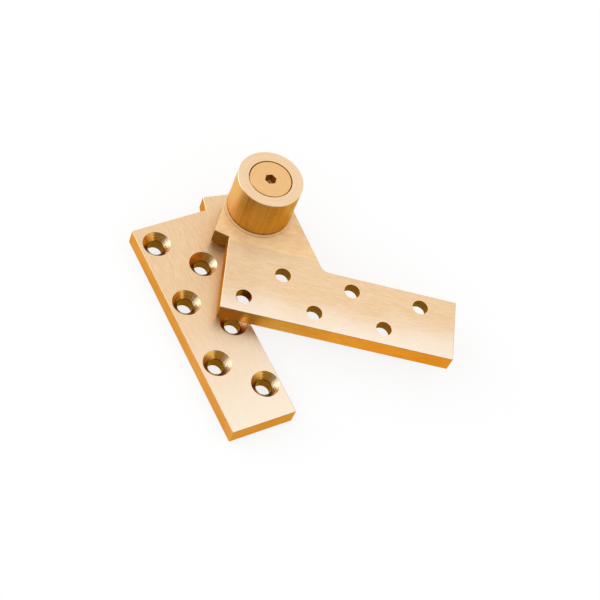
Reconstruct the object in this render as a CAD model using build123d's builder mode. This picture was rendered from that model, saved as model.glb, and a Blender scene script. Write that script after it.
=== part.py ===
from build123d import *
from math import acos, asin, atan2, cos, degrees, hypot, pi, radians, sin
import os

# Offset pivot hinge for the top or bottom of a heavy door, in millimetres.
# Two leaves of one outline lie one above the other and turn about a headed pin.
# Origin: pivot axis at the frame leaf's mounting face, +X along the frame leaf,
# -Y from the pivot into the frame, +Z up the pivot axis towards the barrel.

# Leaf plate, from the pivot's end to the free end, and across
plate_length = 101.6
plate_width = 29.4
leaf_thickness = 7.94
leaf_gap = 1.0
edge_break = 0.15
corner_radius = 0.4

# Arm that carries the pivot clear of the door's face
door_face_offset = 19.05
face_clearance = 0.4
neck_length = 6.1
pivot_inset = 10.2
end_lean = 0.7
step_out = 7.25
step_rise = 1.6
flank_angle = 60.0
flank_fillet = 4.8

# Barrel that stands on the door leaf, with a low turned land round its foot
barrel_radius = 14.29
barrel_height = 21.4
barrel_chamfer = 0.2
boss_ledge = 0.4
land_radius = 15.5
land_height = 0.3

# Countersunk screw holes, staggered along two rows
screw_count = 6
screw_radius = 3.45
countersink_radius = 6.1
countersink_angle = 82.0
far_row_inset = 7.6
near_row_inset = 6.7
first_screw_inset = 9.2
last_screw_inset = 15.9

# Pivot pin with a disc head flush in the barrel
shaft_radius = 6.35
stem_radius = 4.76
stem_floor = 0.8
stem_end_clearance = 0.2
head_radius = 9.175
head_thickness = 4.0
head_sink = 0.1
head_clearance = 0.35
head_chamfer = 0.25
socket_flats = 4.6
socket_depth = 4.4
socket_turn = 19.5

# Needle rollers between the shaft and a race pressed into the barrel
needle_radius = 1.25
needle_play = 0.02
needle_gap = 0.1
needle_end_play = 0.2
race_wall = 0.6
race_length = 19.05
bore_clearance = 0.3

# Washers, one between the leaves and one under the pin's head
thrust_washer_radius = 12.7
head_washer_thickness = 0.8
washer_clearance = 0.2
end_play = 0.1

# Set screw that locks the pin's stem in the frame leaf
lock_radius = 1.6
lock_length = 6.5
lock_socket_flats = 1.6
lock_socket_depth = 2.0

# The door leaf stands this far open from the closed position
rest_swing = 57.05

# Heights up the pivot axis
frame_top = leaf_thickness
door_base = frame_top + leaf_gap
door_top = door_base + leaf_thickness
barrel_top = door_top + barrel_height
head_top = barrel_top - head_sink
head_under = head_top - head_thickness
race_top = head_under - end_play - head_washer_thickness
race_base = race_top - race_length
stem_end = stem_floor + stem_end_clearance
lock_height = (stem_floor + frame_top) / 2

# Radii that follow from the fits
boss_radius = barrel_radius + boss_ledge
head_seat_radius = head_radius + head_clearance
head_washer_radius = head_seat_radius - washer_clearance
washer_bore = shaft_radius + washer_clearance
needle_orbit = shaft_radius + needle_play + needle_radius
race_bore = needle_orbit + needle_radius + needle_play
race_outer_radius = race_bore + race_wall

# As many needles as fit round the shaft
needle_count = int(pi / asin((needle_radius + needle_gap / 2) / needle_orbit))

# Corners of the leaf's outline, seen from above with the pivot at the origin
near_edge = -door_face_offset - neck_length
far_edge = near_edge - plate_width
pivot_end = -pivot_inset
free_end = pivot_end + plate_length
step_corner = (pivot_end - end_lean, -door_face_offset + face_clearance)
arm_corner = (pivot_end - step_out, step_corner[1] + step_rise)
flank_normal = 90 - flank_angle
flank_touch = (boss_radius * cos(radians(flank_normal)), boss_radius * sin(radians(flank_normal)))
flank_run = (flank_touch[1] - near_edge) / sin(radians(flank_angle))
flank_foot = (flank_touch[0] + flank_run * cos(radians(flank_angle)), near_edge)

# The arm's end edge leaves its corner and touches the boss at this angle
end_angle = 360 + degrees(atan2(arm_corner[1], arm_corner[0]) - acos(boss_radius / hypot(*arm_corner)))
end_touch = (boss_radius * cos(radians(end_angle)), boss_radius * sin(radians(end_angle)))

screw_rows = (far_edge + far_row_inset, near_edge - near_row_inset)
screw_step = (plate_length - first_screw_inset - last_screw_inset) / (screw_count - 1)
screw_places = [
    (pivot_end + first_screw_inset + index * screw_step, screw_rows[index % 2])
    for index in range(screw_count)
]

swing = (cos(radians(rest_swing)), sin(radians(rest_swing)), 0)
door_under_plane = Plane((0, 0, door_base), x_dir=swing, z_dir=(0, 0, 1))
door_top_plane = Plane((0, 0, door_top), x_dir=swing, z_dir=(0, 0, 1))


def leaf_outline(inset=0.0):
    """Outline shared by both leaves, drawn in by the inset on every side."""
    with BuildSketch() as outline:
        with BuildLine():
            Polyline(
                end_touch,
                arm_corner,
                step_corner,
                (pivot_end, far_edge),
                (free_end, far_edge),
                (free_end, near_edge),
                flank_foot,
                flank_touch,
            )
            CenterArc((0, 0), boss_radius, flank_normal, end_angle - flank_normal)
        make_face()
        fillet(outline.vertices().sort_by_distance(flank_foot)[0], flank_fillet)
        for corner in ((pivot_end, far_edge), (free_end, far_edge), (free_end, near_edge)):
            fillet(outline.vertices().sort_by_distance(corner)[0], corner_radius)
        if inset:
            offset(amount=-inset, mode=Mode.REPLACE)
    return outline.sketch


def leaf_edges(leaf):
    """Edges round the top and the bottom face of a plain leaf."""
    levels = leaf.faces().sort_by(Axis.Z)
    return levels[0].outer_wire().edges() + levels[-1].outer_wire().edges()


def finish(piece, name):
    """Names a piece and writes it."""
    piece.label = name
    export_step(piece, f"parts/{name}.step")


os.makedirs("parts", exist_ok=True)
outline = leaf_outline()

# Frame leaf: screw holes sunk from above, and the tapped holes for pin and set screw
with BuildPart() as frame_leaf:
    with BuildSketch():
        add(outline)
    extrude(amount=leaf_thickness)
    chamfer(leaf_edges(frame_leaf), edge_break)
    with Locations(Plane.XY.offset(frame_top)):
        with Locations(*screw_places):
            CounterSinkHole(screw_radius, countersink_radius, counter_sink_angle=countersink_angle)
    with BuildSketch(Plane.XY.offset(stem_floor)):
        Circle(stem_radius)
    extrude(amount=frame_top - stem_floor, mode=Mode.SUBTRACT)
    with BuildSketch(Plane((0, 0, lock_height), x_dir=(0, 1, 0), z_dir=(-1, 0, 0))):
        Circle(lock_radius)
    extrude(amount=boss_radius + step_out, mode=Mode.SUBTRACT)
finish(frame_leaf.part, "frame_leaf")

# Door leaf: holes sunk from below, and the barrel on its land in one piece with the arm
with BuildPart() as door_leaf:
    with BuildSketch(door_under_plane):
        add(outline)
    extrude(amount=leaf_thickness)
    chamfer(leaf_edges(door_leaf), edge_break)
    with BuildSketch(door_top_plane):
        add(leaf_outline(edge_break))
        Circle(land_radius, mode=Mode.INTERSECT)
    extrude(amount=land_height)
    with BuildSketch(door_top_plane):
        Circle(barrel_radius)
    extrude(amount=barrel_height)
    chamfer(door_leaf.faces().sort_by(Axis.Z)[-1].outer_wire().edges(), barrel_chamfer)
    with Locations(Plane(door_under_plane.origin, x_dir=swing, z_dir=(0, 0, -1))):
        with Locations(*[(along, -across) for along, across in screw_places]):
            CounterSinkHole(
                screw_radius,
                countersink_radius,
                depth=leaf_thickness,
                counter_sink_angle=countersink_angle,
            )
    for radius, base in (
        (shaft_radius + bore_clearance, door_base),
        (race_outer_radius, race_base),
        (head_seat_radius, race_top),
    ):
        with BuildSketch(Plane.XY.offset(base)):
            Circle(radius)
        extrude(amount=barrel_top - base, mode=Mode.SUBTRACT)
finish(door_leaf.part, "door_leaf")

# Pivot pin: disc head with a hexagon socket, running shaft and stem
with BuildPart() as pivot_pin:
    with BuildSketch(Plane.XZ):
        with BuildLine():
            Polyline(
                (0, stem_end),
                (stem_radius, stem_end),
                (stem_radius, frame_top),
                (shaft_radius, frame_top),
                (shaft_radius, head_under),
                (head_radius, head_under),
                (head_radius, head_top - head_chamfer),
                (head_radius - head_chamfer, head_top),
                (0, head_top),
                close=True,
            )
        make_face()
    revolve(axis=Axis.Z)
    with BuildSketch(Plane.XY.offset(head_top)):
        RegularPolygon(socket_flats / 2, 6, major_radius=False, rotation=socket_turn)
    extrude(amount=-socket_depth, mode=Mode.SUBTRACT)
finish(pivot_pin.part, "pivot_pin")

# Flat rings: the needle rollers' race and the two washers
for name, base, thickness, outer_radius, bore_radius in (
    ("needle_race", race_base, race_length, race_outer_radius, race_bore),
    ("thrust_washer", frame_top, leaf_gap, thrust_washer_radius, washer_bore),
    ("head_washer", race_top, head_washer_thickness, head_washer_radius, washer_bore),
):
    with BuildPart() as ring:
        with BuildSketch(Plane.XY.offset(base)):
            Circle(outer_radius)
            Circle(bore_radius, mode=Mode.SUBTRACT)
        extrude(amount=thickness)
    finish(ring.part, name)

# Needle rollers side by side round the shaft
for index in range(needle_count):
    turn = radians(index * 360 / needle_count)
    with BuildPart() as needle:
        with BuildSketch(Plane.XY.offset(race_base + needle_end_play / 2)):
            with Locations((needle_orbit * cos(turn), needle_orbit * sin(turn))):
                Circle(needle_radius)
        extrude(amount=race_length - needle_end_play)
    finish(needle.part, f"needle_{index + 1:02d}")

# Set screw in the arm's end, its flat tip against the pin's stem
with BuildPart() as lock_screw:
    with BuildSketch(Plane((-stem_radius, 0, lock_height), x_dir=(0, 1, 0), z_dir=(-1, 0, 0))):
        Circle(lock_radius)
    extrude(amount=lock_length)
    with BuildSketch(lock_screw.faces().sort_by(Axis.X)[0]):
        RegularPolygon(lock_socket_flats / 2, 6, major_radius=False)
    extrude(amount=-lock_socket_depth, mode=Mode.SUBTRACT)
finish(lock_screw.part, "lock_screw")
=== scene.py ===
import bpy
from math import cos, pi, radians, sin
from mathutils import Euler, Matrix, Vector


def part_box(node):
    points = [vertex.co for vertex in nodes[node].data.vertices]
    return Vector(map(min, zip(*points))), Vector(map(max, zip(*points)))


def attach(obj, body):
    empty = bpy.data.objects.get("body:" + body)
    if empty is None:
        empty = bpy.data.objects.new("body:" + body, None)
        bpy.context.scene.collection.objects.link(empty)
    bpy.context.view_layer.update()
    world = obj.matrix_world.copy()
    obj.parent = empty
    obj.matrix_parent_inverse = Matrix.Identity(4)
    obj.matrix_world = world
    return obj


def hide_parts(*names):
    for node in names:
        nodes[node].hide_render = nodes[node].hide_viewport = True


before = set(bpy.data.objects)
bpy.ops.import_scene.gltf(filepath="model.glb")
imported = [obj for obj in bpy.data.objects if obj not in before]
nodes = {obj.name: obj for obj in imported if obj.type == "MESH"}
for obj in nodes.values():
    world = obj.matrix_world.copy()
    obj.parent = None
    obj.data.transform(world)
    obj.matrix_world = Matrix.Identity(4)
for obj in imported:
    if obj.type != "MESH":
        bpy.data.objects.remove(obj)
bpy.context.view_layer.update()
restSwing = radians(57.05)  # how far the door leaf stands open
print("frame loaded:", len(nodes), "nodes")


class Wire:  # one output socket, with its maths written as expressions
    def __init__(self, graph, socket):
        self.graph, self.socket = graph, socket

    def maths(self, operation, *values):
        return self.graph.node("ShaderNodeMath", {"operation": operation}, dict(enumerate(values)))

    def __add__(self, other):
        return self.maths("ADD", self, other)

    def __radd__(self, other):
        return self.maths("ADD", other, self)

    def __sub__(self, other):
        return self.maths("SUBTRACT", self, other)

    def __rsub__(self, other):
        return self.maths("SUBTRACT", other, self)

    def __mul__(self, other):
        return self.maths("MULTIPLY", self, other)

    def __rmul__(self, other):
        return self.maths("MULTIPLY", other, self)

    def __truediv__(self, other):
        return self.maths("DIVIDE", self, other)

    def __rtruediv__(self, other):
        return self.maths("DIVIDE", other, self)

    def __mod__(self, other):
        return self.maths("FLOORED_MODULO", self, other)

    def __rmod__(self, other):
        return self.maths("FLOORED_MODULO", other, self)

    def __abs__(self):
        return self.maths("ABSOLUTE", self)


class Graph:  # a node tree, filled one node at a time
    def __init__(self, tree):
        self.tree = tree

    def node(self, kind, settings=None, values=None, out=0):
        made = self.tree.nodes.new(kind)
        for name, value in (settings or {}).items():
            setattr(made, name, value)
        for name, value in (values or {}).items():
            if isinstance(value, Wire):
                self.tree.links.new(value.socket, made.inputs[name])
            else:
                made.inputs[name].default_value = value
        return Wire(self, made.outputs[out]) if len(made.outputs) else None

    def rise(self, value, low, high):  # 0 below low, 1 above high, smooth between
        ramp = {"interpolation_type": "SMOOTHSTEP"}
        return self.node("ShaderNodeMapRange", ramp, {"Value": value, "From Min": low, "From Max": high})

    def fall(self, value, low, high):  # 1 below low, 0 above high
        return 1 - self.rise(value, low, high)

    def blend(self, mask, first, second):  # first colour where the mask is 0, second where it is 1
        colours = {"data_type": "RGBA"}
        return self.node("ShaderNodeMix", colours, {"Factor": mask, 6: first, 7: second}, out=2)

    def stain(self, first, second):  # one colour multiplied by the other
        colours = {"data_type": "RGBA", "blend_type": "MULTIPLY"}
        return self.node("ShaderNodeMix", colours, {"Factor": 1.0, 6: first, 7: second}, out=2)

    def root(self, value):
        return value.maths("SQRT", value)

    def sine(self, value):
        return value.maths("SINE", value)

    def most(self, first, second):
        return first.maths("MAXIMUM", first, second)

    def least(self, first, second):
        return first.maths("MINIMUM", first, second)

    def split(self, vector):
        made = self.node("ShaderNodeSeparateXYZ", None, {0: vector}).socket.node
        return [Wire(self, socket) for socket in made.outputs]

    def join(self, x, y, z):
        return self.node("ShaderNodeCombineXYZ", None, {0: x, 1: y, 2: z})

    def noise(self, vector, detail=2.0, roughness=0.5):
        look = {"Vector": vector, "Scale": 1.0, "Detail": detail, "Roughness": roughness}
        return self.node("ShaderNodeTexNoise", {"noise_dimensions": "3D"}, look)

    def objectPlace(self):
        return self.node("ShaderNodeTexCoord", None, None, out=3)

    def objectNormal(self):
        return self.node("ShaderNodeTexCoord", None, None, out=1)


def newFinish(name):
    material = bpy.data.materials.new(name)
    material.use_nodes = True
    material.node_tree.nodes.clear()
    return material, Graph(material.node_tree)


def closeFinish(graph, values):  # the shader itself, then the material's output
    shader = graph.node("ShaderNodeBsdfPrincipled", None, values)
    graph.node("ShaderNodeOutputMaterial", None, {"Surface": shader})


def dress(name, material):
    for slot in nodes[name].material_slots:
        slot.material = material


# Leaves: brushed along their length, deeper gold on the milled edges, turned rings in the holes.
# Pairs of numbers are where a tone or a mask starts and where it is full.
leafFinish = {
    "flatDeep": (0.775, 0.53, 0.295, 1), "flatPale": (0.885, 0.66, 0.435, 1), "flatGrain": (0.35, 0.65),
    # the first tone on the next line is a painted highlight laid over the flats towards one side
    "flatPaintedHighlight": (0.92, 0.80, 0.66, 1), "edgeTint": (0.92, 0.68, 0.38, 1),
    "armDeep": (0.86, 0.54, 0.26, 1), "armPale": (0.98, 0.72, 0.42, 1), "armGrain": (0.32, 0.68),
    "sideDark": (0.84, 0.74, 0.60, 1), "sideLight": (1.02, 1.08, 1.25, 1), "sideGrain": (0.34, 0.66),
    # edge tones: painted shade on edges facing away from the light, painted highlight on those facing it
    "rimPaintedShade": (0.44, 0.19, 0.04, 1), "rimPaintedHighlight": (0.90, 0.68, 0.42, 1), "rimLight": (-0.3, 0.5),
    "lightWay": (-0.456, -0.890),  # level direction towards the light, in which edges and the barrel's wall get a painted highlight
    "roughness": 0.44, "armRoughness": 0.6, "holeRoughness": 0.24, "roughnessSpread": 0.22,
    "calm": 0.8, "calmReach": (0.028, 0.044),  # the flat round the barrel shines less
    "grainAcross": 1500, "grainAlong": 150, "mottle": 260, "cloud": 60,  # lines and patches to the metre
    "armLine": (-0.0207, -0.0203), "stepX": (-0.0112, -0.0108), "stepY": (-0.0150, -0.0145),
    "farTone": (0.005, 0.06),
    "bumpStrength": 0.25, "bumpDepth": 0.00004, "grainHeight": 0.5, "ringHeight": 0.8,
}
leafFacing = {  # how squarely a face looks up or down, 0 on a wall and 1 on a flat
    "cone": (0.3, 0.5), "rim": (0.45, 0.6), "rimEnd": (0.82, 0.95), "flat": (0.80, 0.97),
    "end": (0.6, 0.8),  # how squarely a wall looks along the leaf
}
screwHole = {
    "farRow": -0.04695, "nearRow": -0.03185, "first": -0.001, "step": 0.0153,
    "from": (-0.0087, -0.0085), "to": (0.083, 0.0832),
    "sinkEdge": (0.0062, 0.0064), "lipEdge": (0.0035, 0.0037),
    # the last tone on the next line is a painted shadow round the mouth of the bore
    "coneDeep": (0.80, 0.37, 0.045, 1), "conePale": (1.0, 0.60, 0.16, 1), "lipPaintedShadow": (0.16, 0.06, 0.01, 1),
    # the bore's tones are painted shade, varied by the grain
    "boreShadeDeep": (0.11, 0.042, 0.005, 1), "boreShadePale": (0.34, 0.145, 0.025, 1), "boreGrain": (0.3, 0.8),
    "highlightWedgeDeep": (0.90, 0.58, 0.30, 1), "highlightWedgePale": (0.98, 0.80, 0.60, 1),  # painted highlight on one side of each countersink
    "wedgeTopWay": (-0.83, -0.55), "wedgeTop": (0.02, 0.08),
    "wedgeFootWay": (-0.25, -0.97), "wedgeFoot": (-0.25, 0.35),
    "rings": 6500, "waver": 5,
}
leafSides = {
    # per leaf, the first entries give the direction and span of the flats' painted highlight
    "frame_leaf": {
        "turn": 0.0, "paintedHighlightWay": (1.0, 0.15), "paintedHighlight": (0.015, 0.090), "step": (0.80, 0.37, 0.06, 1),
        "long": (0.88, 0.42, 0.09, 1), "longFar": (0.90, 0.44, 0.11, 1), "end": (0.83, 0.38, 0.06, 1),
    },
    "door_leaf": {
        "turn": restSwing, "paintedHighlightWay": (0.05, -1.0), "paintedHighlight": (0.038, 0.058), "step": (0.52, 0.29, 0.05, 1),
        "long": (0.78, 0.42, 0.07, 1), "longFar": (0.90, 0.355, 0.032, 1), "end": (0.66, 0.32, 0.04, 1),
    },
}
barrelFinish = {
    "wallDeep": (0.53, 0.29, 0.04, 1), "wallPale": (0.74, 0.43, 0.10, 1), "wallGrain": (0.3, 0.7),
    # the first tone on the next line is painted shade at the foot of the wall
    "wallFootShade": (0.24, 0.125, 0.02, 1), "footShade": (0.01748, 0.01828),
    # the next tone is a painted highlight on the side of the wall that faces the light
    "wallPaintedHighlight": (0.97, 0.60, 0.25, 1), "highlightFacing": (0.5, 1.05),
    "topDeep": (0.80, 0.565, 0.335, 1), "topPale": (0.875, 0.66, 0.43, 1), "topGrain": (0.3, 0.7),
    "seat": (0.62, 0.33, 0.03, 1), "seatEdge": (0.009625, 0.009725), "seatDull": 0.9,
    "roughness": 0.4, "foot": (0.01721, 0.01726), "wallLines": 1800, "topLines": 2600,
}


def leafPattern(g, x, y, z):  # streaks of the brushing, its fine lines, patches and clouds
    look = leafFinish
    across, along, patch, cloud = look["grainAcross"], look["grainAlong"], look["mottle"], look["cloud"]
    grain = g.noise(g.join(x * along, y * across, z * across), 3.0, 0.6)
    fineGrain = g.noise(g.join(x * along * 3, y * across * 3.4, z * across * 3.4), 2.0, 0.6)
    clouds = g.noise(g.join(x * cloud, y * cloud, z * cloud), 2.0)
    mottle = g.noise(g.join(x * patch, y * patch * 2, z * patch * 2), 4.0, 0.7)
    return grain * 0.4 + fineGrain * 0.35 + mottle * 0.25, fineGrain, mottle, clouds


def nearestHole(g, x, y):  # distance from it in either of the staggered rows, and a mask round each
    hole = screwHole
    span = 2 * hole["step"]
    farX = (x - hole["first"] + span / 2) % span - span / 2
    nearX = (x - hole["first"]) % span - span / 2
    farY, nearY = y - hole["farRow"], y - hole["nearRow"]
    toHole = g.least(g.root(farX * farX + farY * farY), g.root(nearX * nearX + nearY * nearY))
    return toHole, g.fall(toHole, *hole["sinkEdge"]) * g.rise(x, *hole["from"]) * g.fall(x, *hole["to"])


def holeTone(g, nx, ny, flatness, rings, toHole, streak):  # turned countersink with a painted highlight on one side, a painted shadow at its lip, and the bore painted dark as shade
    hole = screwHole
    ringTone = rings * 0.5 + 0.5
    cone = g.blend(ringTone, hole["coneDeep"], hole["conePale"])
    (topX, topY), (footX, footY) = hole["wedgeTopWay"], hole["wedgeFootWay"]
    # painted highlight on one side of each countersink
    highlightWedge = g.rise(nx * topX + ny * topY, *hole["wedgeTop"])
    highlightWedge = highlightWedge * g.rise(nx * footX + ny * footY, *hole["wedgeFoot"])
    cone = g.blend(highlightWedge, cone, g.blend(ringTone, hole["highlightWedgeDeep"], hole["highlightWedgePale"]))
    # painted shadow at the lip of the bore
    cone = g.blend(g.fall(toHole, *hole["lipEdge"]), cone, hole["lipPaintedShadow"])
    # bore walls painted dark as shade
    bore = g.blend(g.rise(rings * 0.25 + streak, *hole["boreGrain"]), hole["boreShadeDeep"], hole["boreShadePale"])
    return g.blend(g.rise(flatness, *leafFacing["cone"]), bore, cone)


def leafBrass(name, hasBarrel):
    look, own, facing = leafFinish, leafSides[name], leafFacing
    material, g = newFinish(name + "Brass")
    place = g.objectPlace()
    x, y, z = g.split(g.node("ShaderNodeMapping", None, {"Vector": place, "Rotation": (0, 0, -own["turn"])}))
    nx, ny, nz = g.split(g.objectNormal())
    flatness = abs(nz)
    flatMask = g.rise(flatness, *facing["flat"])
    rimMask = g.rise(flatness, *facing["rim"]) * g.fall(flatness, *facing["rimEnd"])
    toHole, holeMask = nearestHole(g, x, y)
    streak, fineGrain, mottle, clouds = leafPattern(g, x, y, z)

    # flats: brushed, paler towards one side as a painted highlight, and a deeper arm round the barrel
    flat = g.blend(g.rise(streak, *look["flatGrain"]), look["flatDeep"], look["flatPale"])
    wayX, wayY = own["paintedHighlightWay"]
    # painted highlight: the flats turn paler towards one side of the leaf
    paintedHighlight = g.rise(x * wayX + y * wayY + (clouds - 0.5) * 0.012, *own["paintedHighlight"])
    flat = g.blend(paintedHighlight * (0.35 + streak * 1.2), flat, look["flatPaintedHighlight"])
    armMask = g.rise(y + (clouds - 0.5) * 0.0006, *look["armLine"]) * float(hasBarrel)
    armTone = g.blend(g.rise(mottle * 0.6 + clouds * 0.4, *look["armGrain"]), look["armDeep"], look["armPale"])
    flat = g.blend(armMask, flat, armTone)

    # milled sides and the ends with tones of their own, and the step beside the arm painted darker as shade
    endFacing = abs(nx * cos(own["turn"]) + ny * sin(own["turn"]))
    side = g.blend(g.rise(x, *look["farTone"]), own["long"], own["longFar"])
    # painted shade on the step beside the arm
    side = g.blend(g.fall(x, *look["stepX"]) * g.fall(y, *look["stepY"]), side, own["step"])
    side = g.blend(g.rise(endFacing, *facing["end"]), side, own["end"])
    shade = g.rise(streak * 0.65 + clouds * 0.35, *look["sideGrain"])
    side = g.stain(side, g.blend(shade, look["sideDark"], look["sideLight"]))
    colour = g.blend(flatMask, side, flat)
    # painted highlight on edges that face the light, painted shade on the others
    lightX, lightY = look["lightWay"]
    toLight = nx * lightX + ny * lightY
    rim = g.blend(g.rise(toLight, *look["rimLight"]), look["rimPaintedShade"], look["rimPaintedHighlight"])
    colour = g.blend(rimMask * (1 - holeMask), colour, rim)

    insideMask = holeMask * (1 - flatMask)
    rings = g.sine((toHole + z) * screwHole["rings"] + streak * screwHole["waver"])
    colour = g.blend(insideMask, colour, holeTone(g, nx, ny, flatness, rings, toHole, streak))
    roughness = look["roughness"] + armMask * (look["armRoughness"] - look["roughness"])
    roughness = roughness + (streak - 0.5) * look["roughnessSpread"]
    roughness = roughness + insideMask * (look["holeRoughness"] - look["roughness"])
    height = streak * (1 - insideMask) * look["grainHeight"] + rings * insideMask * look["ringHeight"]

    metallic = 1.0
    if hasBarrel:  # turned lines round the wall and the top, a painted highlight on the wall's lit side, painted shade at its foot, a painted highlight on the top's chamfer, and the seat of the pin's head
        barrel = barrelFinish
        px, py, pz = g.split(place)
        reach = g.root(px * px + py * py)
        barrelMask = g.rise(pz, *barrel["foot"])
        turnedLines = g.noise(g.join(px / reach * 3, py / reach * 3, pz * barrel["wallLines"]), 3.0, 0.6)
        blotches = g.noise(g.join(px / reach * 9, py / reach * 9, pz * 25), 2.0, 0.6)
        wallShade = g.rise(turnedLines * 0.4 + blotches * 0.6, *barrel["wallGrain"])
        wall = g.blend(wallShade, barrel["wallDeep"], barrel["wallPale"])
        # painted highlight on the side of the wall that faces the light
        wallHighlight = g.rise(toLight + (blotches - 0.5) * 0.3, *barrel["highlightFacing"])
        wall = g.blend(wallHighlight, wall, barrel["wallPaintedHighlight"])
        # painted shade in the corner at the foot of the wall
        wall = g.blend(g.fall(pz, *barrel["footShade"]), wall, barrel["wallFootShade"])
        seatMask = g.fall(reach, *barrel["seatEdge"])
        wall = g.blend(seatMask, wall, barrel["seat"])
        topTurned = g.noise(g.join(reach * barrel["topLines"], px * 60, py * 60), 2.0, 0.6)
        topShade = g.rise(topTurned * 0.5 + fineGrain * 0.5, *barrel["topGrain"])
        top = g.blend(topShade, barrel["topDeep"], barrel["topPale"])
        # the chamfers are painted in the pale top tone as a painted highlight
        turned = g.blend(rimMask, g.blend(flatMask, wall, top), barrel["topPale"])
        colour = g.blend(barrelMask, colour, turned)
        roughness = roughness + barrelMask * (barrel["roughness"] - look["armRoughness"])
        nearBarrel = g.fall(reach, *look["calmReach"])
        metallic = 1 - nearBarrel * flatMask * (1 - barrelMask) * look["calm"]
        metallic = metallic - seatMask * barrelMask * (1 - flatMask) * barrel["seatDull"]

    bump = {"Strength": look["bumpStrength"], "Distance": look["bumpDepth"], "Height": height}
    closeFinish(g, {
        "Base Color": colour, "Metallic": metallic, "Roughness": roughness,
        "Normal": g.node("ShaderNodeBump", None, bump), "Specular Tint": look["edgeTint"],
    })
    return material


frameBrass = leafBrass("frame_leaf", False)
dress("frame_leaf", frameBrass)
dress("door_leaf", leafBrass("door_leaf", True))
print("leaves dressed")


# Pivot pin: turned head, darker and smoother than the barrel's top, with a shaded side and socket
pinFinish = {
    "light": (0.825, 0.51, 0.235, 1), "dark": (0.785, 0.465, 0.20, 1), "grain": (0.35, 0.65), "lines": 2400,
    "roughness": 0.36, "roughnessSpread": 0.2, "dull": 0.9, "bumpStrength": 0.15, "bumpDepth": 0.00003,
    "socket": (0.42, 0.20, 0.06, 1), "socketEdge": (0.0029, 0.0030), "socketTop": (0.03788, 0.03808),
    "socketFloor": (0.98, 0.66, 0.25, 1), "floorEdge": (0.03388, 0.03408), "aboveShaft": (0.02, 0.021),
    "side": (0.62, 0.33, 0.03, 1), "sideEdge": (0.009075, 0.009125), "sideFacing": (0.3, 0.6),
}


def pinBrass():
    look = pinFinish
    material, g = newFinish("pinBrass")
    x, y, z = g.split(g.objectPlace())
    reach = g.root(x * x + y * y)
    turned = g.noise(g.join(reach * look["lines"], x * 90, y * 90), 2.0, 0.6)
    colour = g.blend(g.rise(turned, *look["grain"]), look["dark"], look["light"])
    inSocket = g.fall(reach, *look["socketEdge"]) * g.fall(z, *look["socketTop"])
    inSocket = inSocket * g.rise(z, *look["aboveShaft"])
    colour = g.blend(inSocket, colour, look["socket"])
    floorMask = inSocket * g.fall(z, *look["floorEdge"])
    colour = g.blend(floorMask, colour, look["socketFloor"])
    nz = g.split(g.objectNormal())[2]
    sideMask = g.rise(reach, *look["sideEdge"]) * g.fall(abs(nz), *look["sideFacing"])
    colour = g.blend(sideMask, colour, look["side"])
    bump = {"Strength": look["bumpStrength"], "Distance": look["bumpDepth"], "Height": turned}
    closeFinish(g, {
        "Base Color": colour, "Metallic": 1 - g.most(floorMask, sideMask) * look["dull"],
        "Roughness": look["roughness"] + (turned - 0.5) * look["roughnessSpread"],
        "Normal": g.node("ShaderNodeBump", None, bump),
    })
    return material


dress("pivot_pin", pinBrass())
print("pin dressed")


# Hidden bearing parts, each finely speckled
bearingFinish = {
    "groundSteel": {"colour": (0.56, 0.57, 0.59, 1), "metallic": 1.0, "roughness": 0.2, "speck": 900},
    "oiledBronze": {"colour": (0.48, 0.27, 0.10, 1), "metallic": 1.0, "roughness": 0.4, "speck": 1600},
    "nylonWasher": {"colour": (0.78, 0.75, 0.68, 1), "metallic": 0.0, "roughness": 0.5, "speck": 700},
    "blackSteel": {"colour": (0.09, 0.09, 0.095, 1), "metallic": 1.0, "roughness": 0.45, "speck": 1400},
}
speckShade = {"dark": 0.82, "grain": (0.4, 0.7), "roughnessSpread": 0.2}


def speckledFinish(name):
    look = bearingFinish[name]
    material, g = newFinish(name)
    fine = g.node("ShaderNodeMapping", None, {"Vector": g.objectPlace(), "Scale": (look["speck"],) * 3})
    speck = g.noise(fine, 3.0)
    shaded = tuple(speckShade["dark"] * c for c in look["colour"][:3]) + (1,)
    closeFinish(g, {
        "Base Color": g.blend(g.rise(speck, *speckShade["grain"]), shaded, look["colour"]),
        "Metallic": look["metallic"],
        "Roughness": look["roughness"] + (speck - 0.5) * speckShade["roughnessSpread"],
    })
    return material


finishes = {name: speckledFinish(name) for name in bearingFinish}
for name in nodes:
    if name.startswith("needle"):  # the rollers and their race
        dress(name, finishes["groundSteel"])
dress("thrust_washer", finishes["oiledBronze"])
dress("head_washer", finishes["nylonWasher"])
dress("lock_screw", finishes["blackSteel"])
print("bearing dressed")


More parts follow.
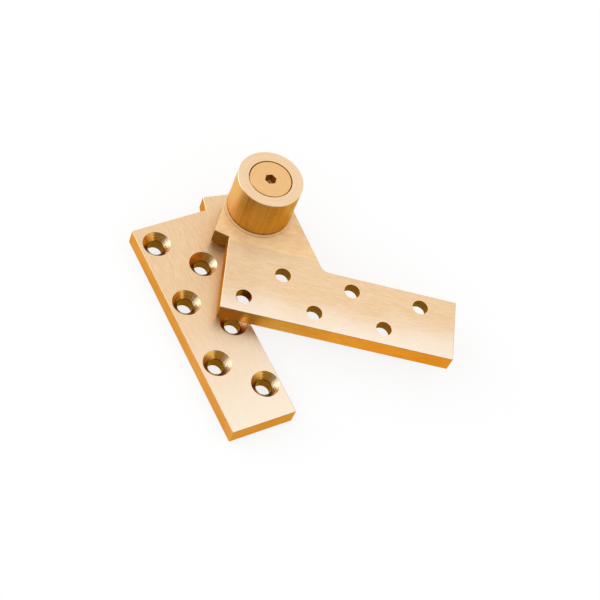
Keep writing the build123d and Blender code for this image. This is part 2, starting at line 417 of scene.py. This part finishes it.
def makeByNodes(name, sizes, material, build):  # a piece from a geometry tree with named sizes
    tree = bpy.data.node_groups.new(name + "Tree", "GeometryNodeTree")
    tree.interface.new_socket("Geometry", in_out="OUTPUT", socket_type="NodeSocketGeometry")
    sockets = {}
    for label, value in sizes.items():
        kind = "NodeSocketInt" if isinstance(value, int) else "NodeSocketFloat"
        sockets[label] = tree.interface.new_socket(label, in_out="INPUT", socket_type=kind)
    g = Graph(tree)
    given = g.node("NodeGroupInput").socket.node
    shape = build(g, {label: Wire(g, given.outputs[label]) for label in sizes})
    single = g.node("GeometryNodeRealizeInstances", None, {"Geometry": shape})
    dressed = g.node("GeometryNodeSetMaterial", None, {"Geometry": single, "Material": material})
    g.node("NodeGroupOutput", None, {0: dressed})
    maker = bpy.data.objects.new(name + "Maker", bpy.data.meshes.new(name + "Maker"))
    bpy.context.scene.collection.objects.link(maker)
    modifier = maker.modifiers.new(name, "NODES")
    modifier.node_group = tree
    for label, value in sizes.items():
        modifier[sockets[label].identifier] = value
    evaluated = maker.evaluated_get(bpy.context.evaluated_depsgraph_get())
    mesh = bpy.data.meshes.new_from_object(evaluated)
    maker.modifiers.remove(modifier)
    bpy.data.objects.remove(maker)
    piece = bpy.data.objects.new(name, mesh)
    bpy.context.scene.collection.objects.link(piece)
    return piece


# Needle rollers with rounded ends, a full ring round the pin's shaft
needleSizes = {
    "count": 18, "orbit": 0.00762, "radius": 0.00125, "length": 0.01885, "rounding": 0.00035,
    "middle": 0.023755, "sides": 28, "rows": 12,
}


def buildNeedles(g, size):
    rod = g.node("GeometryNodeMeshCylinder", {"fill_type": "NGON"}, {
        "Vertices": size["sides"], "Side Segments": size["rows"], "Radius": 1.0, "Depth": 2.0,
    })
    x, y, z = g.split(g.node("GeometryNodeInputPosition"))
    half = size["length"] / 2 - size["rounding"]
    upper = z.maths("SIGN", z)
    turn = g.most((abs(z) - 0.5) * pi, 0)  # the outer half of the rod becomes the rounding
    level = upper * (half * g.least(abs(z) * 2, 1) + size["rounding"] * g.sine(turn))
    reach = size["radius"] - size["rounding"] * (1 - turn.maths("COSINE", turn))
    shaped = g.node("GeometryNodeSetPosition", None, {
        "Geometry": rod, "Position": g.join(x * reach, y * reach, level + size["middle"]),
    })
    facing = abs(g.split(g.node("GeometryNodeInputNormal"))[2])
    smooth = g.node("GeometryNodeSetShadeSmooth", None, {"Geometry": shaped})
    flatEnds = g.node("GeometryNodeSetShadeSmooth", None, {
        "Geometry": smooth, "Selection": facing.maths("GREATER_THAN", facing, 0.999), "Shade Smooth": False,
    })
    ring = g.node("GeometryNodeMeshCircle", None, {"Vertices": size["count"], "Radius": size["orbit"]})
    return g.node("GeometryNodeInstanceOnPoints", None, {"Points": ring, "Instance": flatEnds})


needles = makeByNodes("needleRing", needleSizes, finishes["groundSteel"], buildNeedles)
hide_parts(*[name for name in nodes if name.startswith("needle_") and name[-1].isdigit()])
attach(needles, "needles")
print("needles made:", len(needles.data.polygons), "faces")


# Thread in the mouth of the set screw's hole, in the end edge of the frame leaf's arm
threadSizes = {
    "turns": 4.6, "pitch": 0.0006, "radius": 0.00162, "ridge": 0.00026, "start": -0.01135, "height": 0.00437,
    "steps": 40, "corners": 3,
}


def buildThread(g, size):
    path = g.node("GeometryNodeCurveSpiral", None, {
        "Resolution": size["steps"], "Rotations": size["turns"], "Start Radius": size["radius"],
        "End Radius": size["radius"], "Height": size["turns"] * size["pitch"],
    })
    steady = g.node("GeometryNodeSetCurveNormal", {"mode": "Z_UP"}, {"Curve": path})
    section = {"Resolution": size["corners"], "Radius": size["ridge"]}
    ridge = g.node("GeometryNodeCurvePrimitiveCircle", None, section)
    sweep = {"Curve": steady, "Profile Curve": ridge, "Fill Caps": True}
    thread = g.node("GeometryNodeCurveToMesh", None, sweep)
    start = g.join(size["start"], 0.0, size["height"])
    laid = {"Geometry": thread, "Translation": start, "Rotation": (0, -pi / 2, 0)}
    return g.node("GeometryNodeTransform", None, laid)


thread = makeByNodes("setScrewThread", threadSizes, frameBrass, buildThread)
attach(thread, "frame")
print("thread cut:", len(thread.data.polygons), "faces")


# Camera at the photograph's viewing angle
cameraView = {
    "place": (0.297163, -0.289893, 0.547061), "turn": (32.7069, -14.8851, 62.8716),
    "lens": 93.026, "sensor": 36, "nearest": 0.01, "furthest": 20,
}
camera = bpy.data.objects.new("camera", bpy.data.cameras.new("camera"))
camera.data.lens, camera.data.sensor_width = cameraView["lens"], cameraView["sensor"]
camera.data.clip_start, camera.data.clip_end = cameraView["nearest"], cameraView["furthest"]
camera.location = cameraView["place"]
camera.rotation_euler = Euler([radians(a) for a in cameraView["turn"]])
bpy.context.scene.collection.objects.link(camera)
bpy.context.scene.camera = camera


# Studio: pale floor, white surround, soft lamps, and a warm grey card that only the gloss sees
studio = {
    "floorSize": 6.0, "floorDrop": 0.00005, "floorWhite": 0.8, "floorTone": (0.95, 0.95, 0.95, 1),
    "white": (1, 1, 1, 1),
    "card": {
        "tone": (0.21, 0.17, 0.12, 1), "size": (3.4, 1.9),
        "azimuth": 42, "elevation": 46, "distance": 1.6,
    },
    "lamps": (
        {
            "name": "overhead", "power": 0.3, "size": (0.55, 0.55),
            "azimuth": 205, "elevation": 68, "distance": 1.1,
        },
        {
            "name": "leftStrip", "power": 4.2, "size": (1.0, 0.75),
            "azimuth": 306, "elevation": 23, "distance": 1.2,
        },
    ),
}


def aimFromAround(thing, look):  # azimuth 0 stands at -Y, and every piece faces the pivot
    a, e = radians(look["azimuth"]), radians(look["elevation"])
    thing.location = look["distance"] * Vector((sin(a) * cos(e), -cos(a) * cos(e), sin(e)))
    thing.rotation_euler = thing.location.to_track_quat("Z", "Y").to_euler()


def panel(name, width, depth):
    w, d = width / 2, depth / 2
    mesh = bpy.data.meshes.new(name)
    mesh.from_pydata(((-w, -d, 0), (w, -d, 0), (w, d, 0), (-w, d, 0)), [], [(0, 1, 2, 3)])
    made = bpy.data.objects.new(name, mesh)
    bpy.context.scene.collection.objects.link(made)
    return made


def seenAsBackground(g):  # 1 for camera, glossy and transmission rays
    path = g.node("ShaderNodeLightPath").socket.node
    rays = [Wire(g, path.outputs[name]) for name in ("Is Camera Ray", "Is Glossy Ray", "Is Transmission Ray")]
    return g.most(g.most(rays[0], rays[1]), rays[2])


def layFloor():  # clear from below, so that the hinge can be seen from there
    floor = panel("floor", studio["floorSize"], studio["floorSize"])
    floor.location = (0, 0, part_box("frame_leaf")[0].z - studio["floorDrop"])
    material, g = newFinish("paleFloor")
    matt = g.node("ShaderNodeBsdfDiffuse", None, {"Color": studio["floorTone"], "Roughness": 1.0})
    white = g.node("ShaderNodeEmission", None, {"Color": studio["white"], "Strength": 1.0})
    share = seenAsBackground(g) * studio["floorWhite"]
    shown = g.node("ShaderNodeMixShader", None, {0: share, 1: matt, 2: white})
    under = g.node("ShaderNodeNewGeometry", None, None, out=6)
    clear = g.node("ShaderNodeBsdfTransparent")
    either = g.node("ShaderNodeMixShader", None, {0: under, 1: shown, 2: clear})
    g.node("ShaderNodeOutputMaterial", None, {"Surface": either})
    floor.data.materials.append(material)


def hangCard():
    look = studio["card"]
    card = panel("greyCard", *look["size"])
    aimFromAround(card, look)
    card.visible_camera = card.visible_shadow = card.visible_diffuse = False
    material, g = newFinish("greyCard")
    glow = g.node("ShaderNodeEmission", None, {"Color": look["tone"]})
    g.node("ShaderNodeOutputMaterial", None, {"Surface": glow})
    card.data.materials.append(material)


def hangLamp(look):
    lamp = bpy.data.objects.new(look["name"], bpy.data.lights.new(look["name"], "AREA"))
    lamp.data.shape, lamp.data.energy = "RECTANGLE", look["power"]
    lamp.data.size, lamp.data.size_y = look["size"]
    aimFromAround(lamp, look)
    lamp.visible_camera = False
    bpy.context.scene.collection.objects.link(lamp)


def paintWorld():
    world = bpy.data.worlds.new("studio")
    world.use_nodes = True
    world.node_tree.nodes.clear()
    g = Graph(world.node_tree)
    white = g.node("ShaderNodeBackground", None, {"Color": studio["white"]})
    g.node("ShaderNodeOutputWorld", None, {"Surface": white})
    bpy.context.scene.world = world


layFloor()
hangCard()
for look in studio["lamps"]:
    hangLamp(look)
paintWorld()
bpy.context.scene.view_settings.view_transform = "Standard"
print("studio set")
